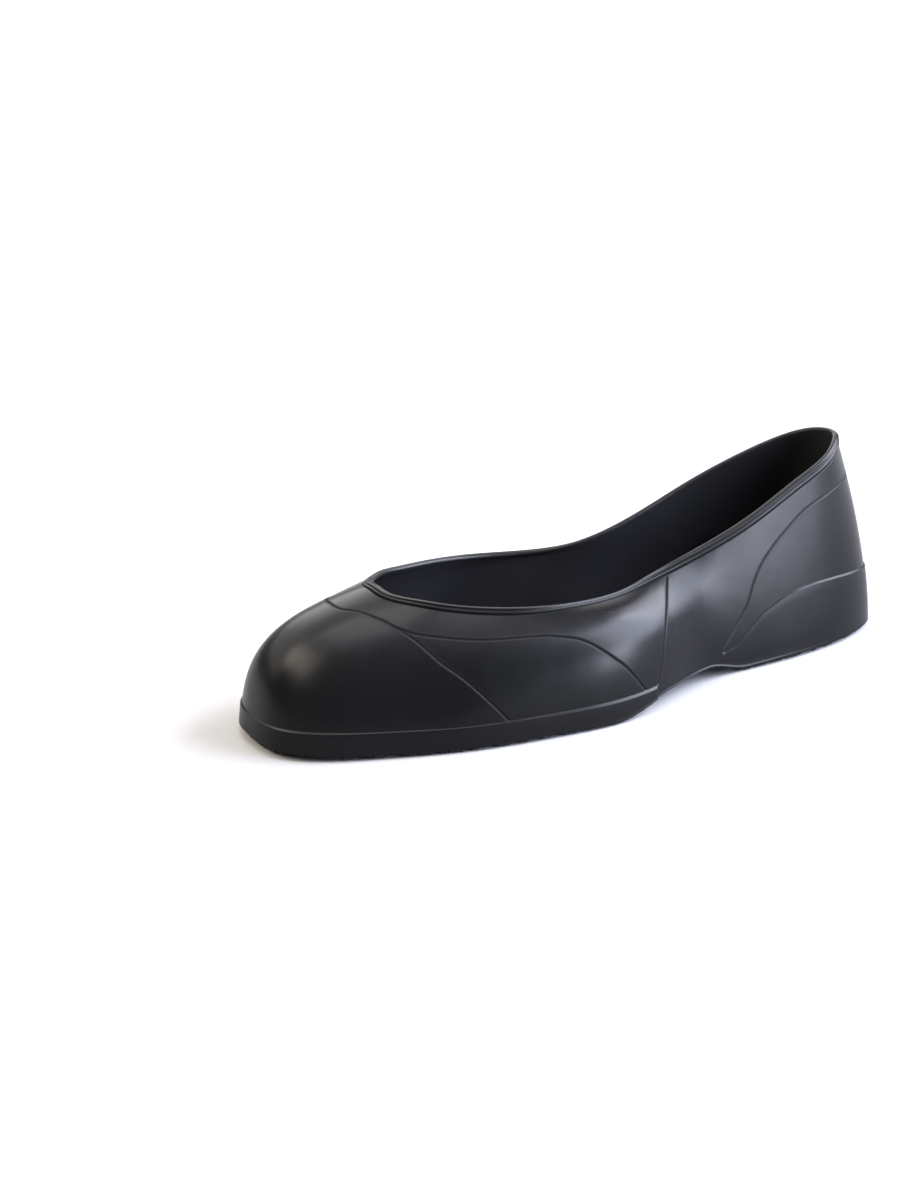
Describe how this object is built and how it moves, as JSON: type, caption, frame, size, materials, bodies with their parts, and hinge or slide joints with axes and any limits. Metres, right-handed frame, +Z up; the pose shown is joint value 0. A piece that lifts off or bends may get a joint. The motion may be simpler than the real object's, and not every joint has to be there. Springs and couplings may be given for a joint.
{
  "type": "rubber overshoe",
  "caption": "Low slip-on black rubber overshoe for the left foot, with an open collar, raised foxing and heel band, moulded panel lines, and tread fields under forefoot and heel.",
  "frame": {"origin": "centre of the bounding box at floor level, under the shoe", "axes": "+Z up, toe towards -Y and heel towards +Y, +X the outer (lateral) side of a left shoe"},
  "size_m": [0.1142, 0.3075, 0.0891],
  "materials": {
    "upper_rubber": "satin black moulded rubber",
    "sole_rubber": "satin black moulded rubber",
    "tread_rubber": "matt black rubber"
  },
  "bodies": {
    "root": {"upper": "upper_rubber", "outsole": "sole_rubber", "tread_forefoot": "tread_rubber", "tread_heel": "tread_rubber"}
  },
  "joints": []
}
